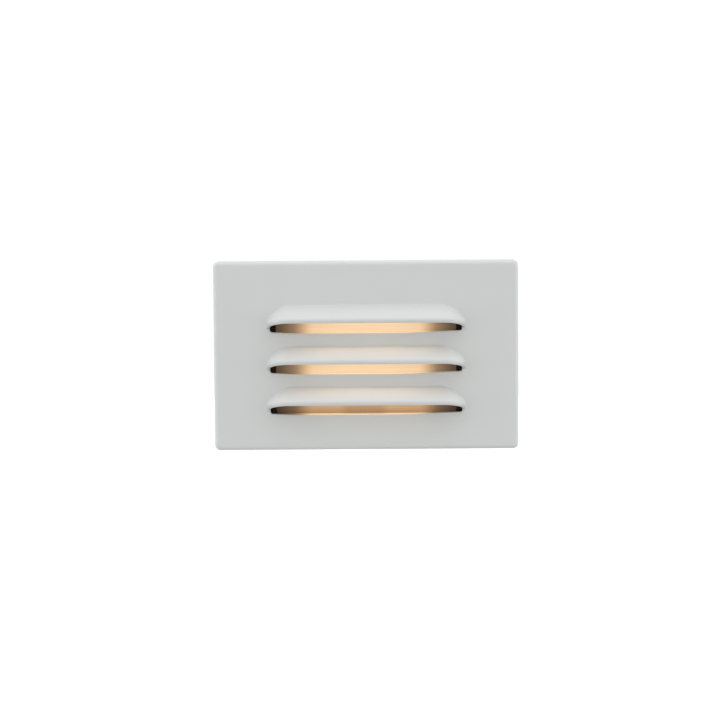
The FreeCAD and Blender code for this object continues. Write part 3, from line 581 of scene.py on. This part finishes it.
sills = [top_sill - n * louvre_pitch for n in range(louvre_count)]
band_edges = [(sills[n] + sills[n + 1] + hood_top) / 2 for n in range(louvre_count - 1)]
straight_high = half_height - corner_radius
straight_wide = half_width - corner_radius
side_marks = [-straight_high, *band_edges[::-1], straight_high]
level_shares = np.concatenate([np.linspace(a, b, side_steps + 1)[:-1] for a, b in
                               zip(side_marks, side_marks[1:])] + [[straight_high]])
level_shares /= straight_high
foot_wide = hood_half + hood_reach + foot_gap
cross_shares = np.concatenate([np.linspace(a, b, steps + 1)[:-1] for a, b, steps in
                               ((straight_wide, foot_wide, field_steps),
                                (foot_wide, hood_half, shoulder_steps),
                                (hood_half, -hood_half, middle_steps),
                                (-hood_half, -foot_wide, shoulder_steps),
                                (-foot_wide, -straight_wide, field_steps))]
                              + [[-straight_wide]]) / straight_wide


def circle_through(a, b, c):
    """Centre and radius of the circle through three points of the plane."""
    rows = 2 * np.array([b - a, c - a])
    centre = np.linalg.solve(rows, [b @ b - a @ a, c @ c - a @ a])
    return centre, np.linalg.norm(a - centre)


def crown_reach(up, reach, top):
    """How far a hood stands out at a height over its sill.

    Side view: one arc from the top over the shoulder to the brow, one from the brow over
    the nose to the lip, and plumb below the lip.
    """
    spots = crown_spots * (reach, hood_lip - top) + (0.0, top)
    out = np.full_like(up, reach)
    for first, bend, last in (spots[0:3], spots[2:5]):
        centre, radius = circle_through(first, bend, last)
        here = (up <= first[1]) & (up >= last[1])
        rise = np.clip(radius ** 2 - (up - centre[1]) ** 2, 0, None)
        out = np.where(here, centre[0] + np.sqrt(rise), out)
    return np.clip(out, 0, reach)


def hood_height(x, up, reach, top):
    """The hood over the plate at (x, up): the crown in the middle, turned at the ends."""
    past = np.clip(np.abs(x) - hood_half, 0, None)
    return np.sqrt(np.clip(crown_reach(up, reach, top) ** 2 - past ** 2, 0, None))


def outline(steps, reach, top):
    """A hood's edge on the plate, from its right foot over the top to its left foot.

    The end is the crown's side view laid flat, cut into even steps.
    """
    up = np.linspace(hood_foot, top, outline_points)
    side = np.stack([hood_half + crown_reach(up, reach, top), up], axis=1)
    side[-1, 0] = hood_half
    run = np.append(0, np.cumsum(np.linalg.norm(np.diff(side, axis=0), axis=1)))
    marks = np.linspace(0, run[-1], steps + 1)
    right = np.stack([np.interp(marks, run, side[:, k]) for k in (0, 1)], axis=1)
    middle = np.linspace(hood_half, -hood_half, middle_steps + 1)[1:-1]
    left = right[::-1] * (-1, 1)
    crown = np.stack([middle, np.full_like(middle, top)], axis=1)
    return np.concatenate([right, crown, left])


def lip_line(steps, reach):
    """The edge of a hood's mouth: a level ellipse quarter, the straight lip, a quarter."""
    turn = np.linspace(math.pi / 2, 0, steps + 1)
    rise = hood_lip - hood_foot
    right = np.stack([hood_half + reach * np.sin(turn),
                      hood_foot + rise * reach / hood_reach * np.cos(turn)], axis=1)
    middle = np.linspace(hood_half, -hood_half, middle_steps + 1)[1:-1]
    left = right[::-1] * (-1, 1)
    lip = np.full_like(middle, right[-1, 1])
    return np.concatenate([right, np.stack([middle, lip], axis=1), left])


def slot_line():
    """The lower edge of a slot, from the hood's left foot along the sill to the right.

    Each end drops from the foot, turns a quarter round and runs level; the coat lies
    thicker towards both ends, where the sill rises a little, more gently on the right.
    """
    end = hood_half + hood_reach - hood_wall
    turn = np.linspace(0, math.pi / 2, small_turn_steps + 1)
    bend = np.stack([end - slot_corner + slot_corner * np.cos(turn),
                     slot_corner - slot_corner * np.sin(turn)], axis=1)
    sill_x = np.linspace(end - slot_corner, hood_half, shoulder_steps - len(turn))[1:]
    right = np.concatenate([[(hood_half + hood_reach, hood_foot), (end, hood_foot)], bend,
                            np.stack([sill_x, 0 * sill_x], axis=1)])
    middle = np.linspace(-hood_half, hood_half, middle_steps + 1)[1:-1]
    line = np.concatenate([right * (-1, 1), np.stack([middle, 0 * middle], axis=1), right[::-1]])
    for side, start, most in sill_rises:
        share = np.clip((side * line[:, 0] - start) / (end - start), 0, 1)
        rise = most * share ** 2 * (3 - 2 * share)
        line[:, 1] += rise * np.clip(1 - line[:, 1] / hood_foot, 0, 1)
    return line


def plate_loop(inset, radius):
    """A rounded rectangle inset from the plate's outline, anticlockwise from low right.

    Right side, corner, top, corner, left side, corner, bottom, corner: the points keep
    their share of each run whatever the inset, so that loops can be joined in rows.
    """
    wide, high = half_width - inset - radius, half_height - inset - radius
    turn = np.linspace(0, math.pi / 2, corner_steps + 1)[1:-1]
    corner = radius * np.stack([np.cos(turn), np.sin(turn)], axis=1) + (wide, high)
    right = np.stack([np.full_like(level_shares, wide + radius), level_shares * high], axis=1)
    top = np.stack([cross_shares * wide, np.full_like(cross_shares, high + radius)], axis=1)
    mirror = (-1, 1)
    return [right, corner, top, corner[::-1] * mirror, right[::-1] * mirror,
            -corner, -top, -corner[::-1] * mirror]


def band_rims(inset, radius):
    """For each louvre, the closed path round its band of the plate.

    Each path starts under the hood's right foot and runs anticlockwise. Bands share
    straight paths across the plate, half-way between one sill and the next hood.
    """
    right, tr, top, tl, _, bl, bottom, br = plate_loop(inset, radius)
    rims = []
    for n in range(louvre_count):
        low = (louvre_count - 1 - n) * side_steps
        side = right[low:low + side_steps + 1]
        first, last = n == 0, n == louvre_count - 1

        def across_plate(height):
            """A level line from the plate's right side to its left."""
            return np.stack([cross_shares * side[0, 0],
                             np.full_like(cross_shares, height)], axis=1)

        over = [tr, top, tl] if first else [across_plate(side[-1, 1])[1:-1]]
        under = [bl, bottom, br] if last else [across_plate(side[0, 1])[::-1][1:-1]]
        path = np.concatenate([side, *over, side[::-1] * (-1, 1), *under])
        rims.append(np.roll(path, field_steps + (corner_steps if last else 0), axis=0))
    return rims


def end_steps(n):
    """How many steps a hood's end takes, to match its band's rim."""
    corners = (n == 0) + (n == louvre_count - 1)
    return 2 * field_steps + side_steps + shoulder_steps + corners * corner_steps


def bend_rows(start, corner, finish, rows, pull=1.0):
    """Rows of points on a conic curve from start to finish, pulled to the corner."""
    u = np.linspace(0, 1, rows)[:, None, None]
    shares = [(1 - u) ** 2, 2 * pull * u * (1 - u), u ** 2]
    bend = shares[0] * start + shares[1] * corner + shares[2] * finish
    return bend / (shares[0] + shares[1] + shares[2])


def skin(edge, lip, reach, top):
    """For each station, a fine path on a hood from its edge on the plate to its lip.

    The path is straight as seen from the front, and stands out by the hood's height.
    Returned with the distance run along it.
    """
    share = np.linspace(0, 1, skin_points)[:, None, None] ** 2
    flat = (1 - share) * edge + share * lip
    out = hood_height(flat[..., 0], flat[..., 1], reach, top)
    out[0] = 0.0
    path = np.concatenate([flat, out[..., None]], axis=2)
    steps = np.linalg.norm(np.diff(path, axis=0), axis=2)
    run = np.concatenate([np.zeros((1, steps.shape[1])), np.cumsum(steps, axis=0)])
    return path, run


def along(path, run, marks):
    """Points of each station's path at its own distances marks (rows by stations)."""
    picked = [[np.interp(marks[:, s], run[:, s], path[:, s, k]) for s in range(path.shape[1])]
              for k in range(3)]
    return np.moveaxis(np.array(picked), (0, 1, 2), (2, 1, 0))


def standing(flat, out):
    """Points seen from the front, (x, up), given a distance out in front of the plate."""
    return np.concatenate([flat, np.broadcast_to(out, flat.shape[:-1])[..., None]], axis=-1)


def outward(line):
    """Unit normals on the right of a line's direction of travel, seen from the front."""
    way = np.gradient(line, axis=0)
    length = np.maximum(np.linalg.norm(way, axis=1, keepdims=True), 1e-9)
    return np.stack([way[:, 1], -way[:, 0]], axis=1) / length


def ringed(loop, normals, feet):
    """A loop and a ring clear outside it, so that rows from there to a rim don't fold.

    At each foot, where the loop turns in to the slot, the ring takes a short cut.
    """
    ring = loop + ring_gap * normals
    for foot in feet:
        ring[foot] = (ring[foot - 1] + ring[(foot + 1) % len(ring)]) / 2
    return loop, ring


def hood_rows(n):
    """Rows of stations over one hood: crease, crown, lip, inner skin and slot wall.

    Also returns the slot's lower edge rows and, where the plate's front and inner faces
    begin, a loop and its ring for each.
    """
    steps = end_steps(n)
    edge = outline(steps, hood_reach, hood_top)
    lip = lip_line(steps, hood_reach)
    inner_edge = outline(steps, hood_reach - hood_wall, hood_top - hood_wall)
    inner_lip = lip_line(steps, hood_reach - hood_wall)

    path, run = skin(edge, lip, hood_reach, hood_top)
    length = run[-1]
    soft = crease * np.clip(length / (3 * crease), 0, 1)
    curl = np.minimum(lip_round, end_share * length)
    normals = outward(edge)
    begin = standing(edge + soft[:, None] * normals, 0.0)
    marks = np.linspace(soft, length - curl, crown_rows)
    crown = along(path, run, marks)
    inner_path, inner_run = skin(inner_edge, inner_lip, hood_reach - hood_wall,
                                 hood_top - hood_wall)
    inner_length = inner_run[-1]
    tuck = np.minimum(lip_edge, end_share * inner_length)
    inner = along(inner_path, inner_run, np.linspace(inner_length - tuck, 0 * tuck, inner_rows))
    outer_lip, inside_lip = path[-1], inner_path[-1]
    under_lip = outer_lip + roll_share * (inside_lip - outer_lip)
    roll_corner = outer_lip + roll_rise * curl[:, None] * (0.0, 1.0, 0.0)
    rows = [bend_rows(begin, standing(edge, 0.0), crown[0], crease_rows), crown[1:],
            bend_rows(crown[-1], roll_corner, under_lip, lip_rows, lip_pull)[1:],
            bend_rows(under_lip, inside_lip, inner[0], lip_rows // 2)[1:], inner[1:],
            np.linspace(standing(inner_edge, 0.0), standing(inner_edge, -front_wall),
                        wall_rows)[1:]]
    over = np.concatenate(rows)
    for foot in (0, -1):    # a hood has no height at its feet: each gathers in one point
        outside = np.abs(over[:, foot, 0]) > abs(inner_edge[foot, 0]) + hair
        over[outside, foot] = over[0, foot]

    sill = slot_line()
    sill_normals = outward(sill)
    sill_normals[0:2], sill_normals[-2:] = (-1, 0), (1, 0)
    fade = np.ones(len(sill))
    fade[:2] = fade[-2:] = 0.0
    sill_soft = (sill_round * fade)[:, None]
    sill_begin = standing(sill + sill_soft * sill_normals, 0.0)
    sill_end = standing(sill, -sill_soft[:, 0])
    under = np.concatenate([bend_rows(sill_begin, standing(sill, 0.0), sill_end, sill_rows),
                            np.linspace(sill_end, standing(sill, -front_wall), wall_rows)[1:]])
    inner_sill = sill.copy()
    inner_sill[0], inner_sill[-1] = sill[1], sill[-2]
    feet = (len(edge), len(edge) + len(sill) - 3)
    front = ringed(np.concatenate([begin[:, :2], sill_begin[1:-1, :2]]),
                   np.concatenate([normals, sill_normals[1:-1]]), feet)
    inside = ringed(np.concatenate([inner_edge, inner_sill[1:-1]]),
                    np.concatenate([outward(inner_edge), sill_normals[1:-1]]), feet)
    return over, under[:, 1:-1], front, inside


def sheet_faces(rows, columns, closed):
    """Four-sided faces of a grid of rows by columns, joined round when closed."""
    r = np.arange(rows - 1)[:, None] * columns
    c = np.arange(columns if closed else columns - 1)[None]
    after = (c + 1) % columns
    return np.stack([r + c, r + after, r + columns + after, r + columns + c],
                    axis=-1).reshape(-1, 4)


def add_grid(shell, points, closed=False):
    """Put a grid of points, rows by columns by (x, y, z), into a shell's lists."""
    rows, columns = points.shape[:2]
    start = sum(len(part) for part in shell["points"])
    shell["points"].append(points.reshape(-1, 3))
    shell["faces"].append(sheet_faces(rows, columns, closed) + start)


def shell_mesh(name, shell, merge=0.002 * mm):
    """One closed mesh: seams merged, slivers closed, faces turned outwards."""
    mesh = bpy.data.meshes.new(name)
    mesh.from_pydata(np.concatenate(shell["points"]).tolist(), [],
                     np.concatenate(shell["faces"]).tolist())
    work = bmesh.new()
    work.from_mesh(mesh)
    bmesh.ops.remove_doubles(work, verts=work.verts, dist=merge)
    bmesh.ops.dissolve_degenerate(work, edges=work.edges, dist=merge)
    bmesh.ops.holes_fill(work, edges=[e for e in work.edges if e.is_boundary], sides=0)
    bmesh.ops.recalc_face_normals(work, faces=work.faces)
    work.to_mesh(mesh)
    work.free()
    return mesh


def on_plate(points, sill):
    """(x, up, out) of a louvre to the frame's (x, y, z)."""
    return np.stack([points[..., 0], plate_front - points[..., 2], sill + points[..., 1]], axis=-1)


def plate_section():
    """The tray's section from the flat front round its wall to the flat inner face.

    Each entry is an inset from the outline, a corner radius and a depth behind the
    front: quarter circles at the front edge, the rim's two edges and the root.
    """
    turn = np.linspace(0, math.pi / 2, turn_steps + 1)
    short = np.linspace(0, math.pi / 2, small_turn_steps + 1)
    depth = plate_rim - plate_front
    entries = [(edge_radius * (1 - math.sin(t)), corner_radius - edge_radius * (1 - math.sin(t)),
                edge_radius * (1 - math.cos(t))) for t in turn]
    entries += [(0.0, corner_radius, d)
                for d in np.linspace(edge_radius, depth - rim_radius, small_turn_steps + 1)[1:]]
    entries += [(rim_radius * (1 - math.cos(t)), corner_radius - rim_radius * (1 - math.cos(t)),
                 depth - rim_radius * (1 - math.sin(t))) for t in short[1:]]
    inner_start = side_wall - rim_radius
    entries += [(inner_start + rim_radius * math.sin(t), inner_corner + rim_radius * math.cos(t),
                 depth - rim_radius * (1 - math.cos(t))) for t in short]
    entries += [(side_wall, inner_corner, d) for d in
                np.linspace(depth - rim_radius, front_wall + root_radius, small_turn_steps + 1)[1:]]
    entries += [(side_wall + root_radius * (1 - math.cos(t)),
                 inner_corner - root_radius * (1 - math.cos(t)),
                 front_wall + root_radius * (1 - math.sin(t))) for t in short[1:]]
    return entries


def faceplate_shell():
    """The plate's section carried round its outline, its two faces, and the hoods.

    Each face is a ring of straight rows per louvre, from its opening to its band's rim.
    """
    shell = {"points": [], "faces": []}
    section = plate_section()
    overs, unders, fronts, insides = zip(*(hood_rows(n) for n in range(louvre_count)))
    loops = [np.concatenate(plate_loop(inset, radius)) for inset, radius, _ in section]
    walls = np.stack([np.insert(loop, 1, plate_front + depth, axis=1)
                      for loop, (_, _, depth) in zip(loops, section)])
    add_grid(shell, walls, closed=True)
    share = np.linspace(0, 1, field_rows)[:, None, None]
    for (inset, radius, depth), mouths in ((section[0], fronts), (section[-1], insides)):
        for (loop, ring), rim, sill in zip(mouths, band_rims(inset, radius), sills):
            out = (1 - share) * (ring + (0, sill)) + share * rim
            flat = np.concatenate([loop[None] + (0, sill), out])
            add_grid(shell, np.insert(flat, 1, plate_front + depth, axis=2), closed=True)
    for over, under, sill in zip(overs, unders, sills):
        add_grid(shell, on_plate(over, sill))
        add_grid(shell, on_plate(under, sill))
    return shell


def rod(work, radius, start, end):
    """Put a cylinder from one point to another into a bmesh."""
    start, end = Vector(start), Vector(end)
    turn = (end - start).to_track_quat("Z", "Y").to_matrix().to_4x4()
    bmesh.ops.create_cone(work, cap_ends=True, segments=rod_sides, radius1=radius, radius2=radius,
                          depth=(end - start).length,
                          matrix=Matrix.Translation((start + end) / 2) @ turn)


def merged(mesh, operation, work):
    """A mesh with the closed forms in a bmesh added to it or cut from it."""
    forms = bpy.data.meshes.new("forms")
    work.to_mesh(forms)
    work.free()
    base, tool = (bpy.data.objects.new("join", part) for part in (mesh, forms))
    for item in (base, tool):
        bpy.context.scene.collection.objects.link(item)
    join = base.modifiers.new("join", "BOOLEAN")
    join.operation, join.solver, join.object = operation, "EXACT", tool
    joined = base.evaluated_get(bpy.context.evaluated_depsgraph_get())
    made = bpy.data.meshes.new_from_object(joined)
    for item in (base, tool):
        bpy.data.objects.remove(item)
    return made


def fixings(mesh):
    """Bosses for the set screws and the lens clips, locating pads, and their holes."""
    frame_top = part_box("mounting_frame")[1].z
    wall = half_height - side_wall + bite
    lens_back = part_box("lens")[1].y
    solids, holes = bmesh.new(), bmesh.new()
    for side in ("left", "right"):
        low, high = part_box("set_screw_" + side)
        x, y = (low.x + high.x) / 2, (low.y + high.y) / 2
        rod(solids, boss_radius, (x, y, -wall), (x, y, -frame_top - boss_gap))
        rod(holes, (high.x - low.x) / 2 + screw_clearance,
            (x, y, -half_height - mm), (x, y, -frame_top))
        pad_low, pad_high = frame_top + pad_gap, wall
        size = Matrix.Diagonal((2 * pad_half[0], 2 * pad_half[1], pad_high - pad_low, 1.0))
        place = Matrix.Translation((x, y, (pad_low + pad_high) / 2))
        bmesh.ops.create_cube(solids, size=1.0, matrix=place @ size)
    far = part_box("lens_clip_screws")[1]
    for x in (clip_screw_head - far.x, far.x - clip_screw_head):
        for z in (clip_screw_head - far.z, far.z - clip_screw_head):
            rod(solids, clip_boss_radius, (x, plate_inner - bite, z), (x, lens_back, z))
            rod(holes, clip_screw_radius + screw_clearance, (x, lens_back - clip_screw_depth, z),
                (x, lens_back + mm, z))
    return merged(merged(mesh, "UNION", solids), "DIFFERENCE", holes)


def powder_coat():
    """Satin white with a slight pearl, and the faint orange peel of a baked powder coat."""
    material, nodes, links, shader = new_finish("white_powder_coat")
    cloud = grain(nodes, links, size=14.0 * mm, detail=1.0)
    colour = mixed(nodes, links, cloud, tone(202, 204, 203), tone(204, 206, 205))
    links.new(colour, shader.inputs["Base Color"])
    peel = grain(nodes, links, size=0.9 * mm, detail=2.0)
    links.new(between(nodes, links, peel, 0.42, 0.5), shader.inputs["Roughness"])
    shader.inputs["Metallic"].default_value = 0.18
    relief(nodes, links, peel, 0.012 * mm, shader)
    return material


coat = powder_coat()
casting_mesh = fixings(shell_mesh("faceplate_casting", faceplate_shell()))
casting = bpy.data.objects.new("faceplate_casting", casting_mesh)
bpy.context.scene.collection.objects.link(casting)
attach(casting, "cover")
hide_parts("faceplate")
dress(coat, "faceplate")
casting.data.materials.append(coat)
casting.data.shade_smooth()
casting.data.set_sharp_from_angle(angle=sharp_angle)

# ---------------------------------------------------------------- set screws
# Two black steel grub screws. They come up through the plate's bottom wall and press
# against the frame's flange, which holds the faceplate on.

dress(grained("black_screw", (tone(22, 22, 24), tone(44, 44, 47)),
              roughness=(0.3, 0.5), size=0.3 * mm, depth=0.005 * mm, metallic=0.8),
      "set_screw_left", "set_screw_right")
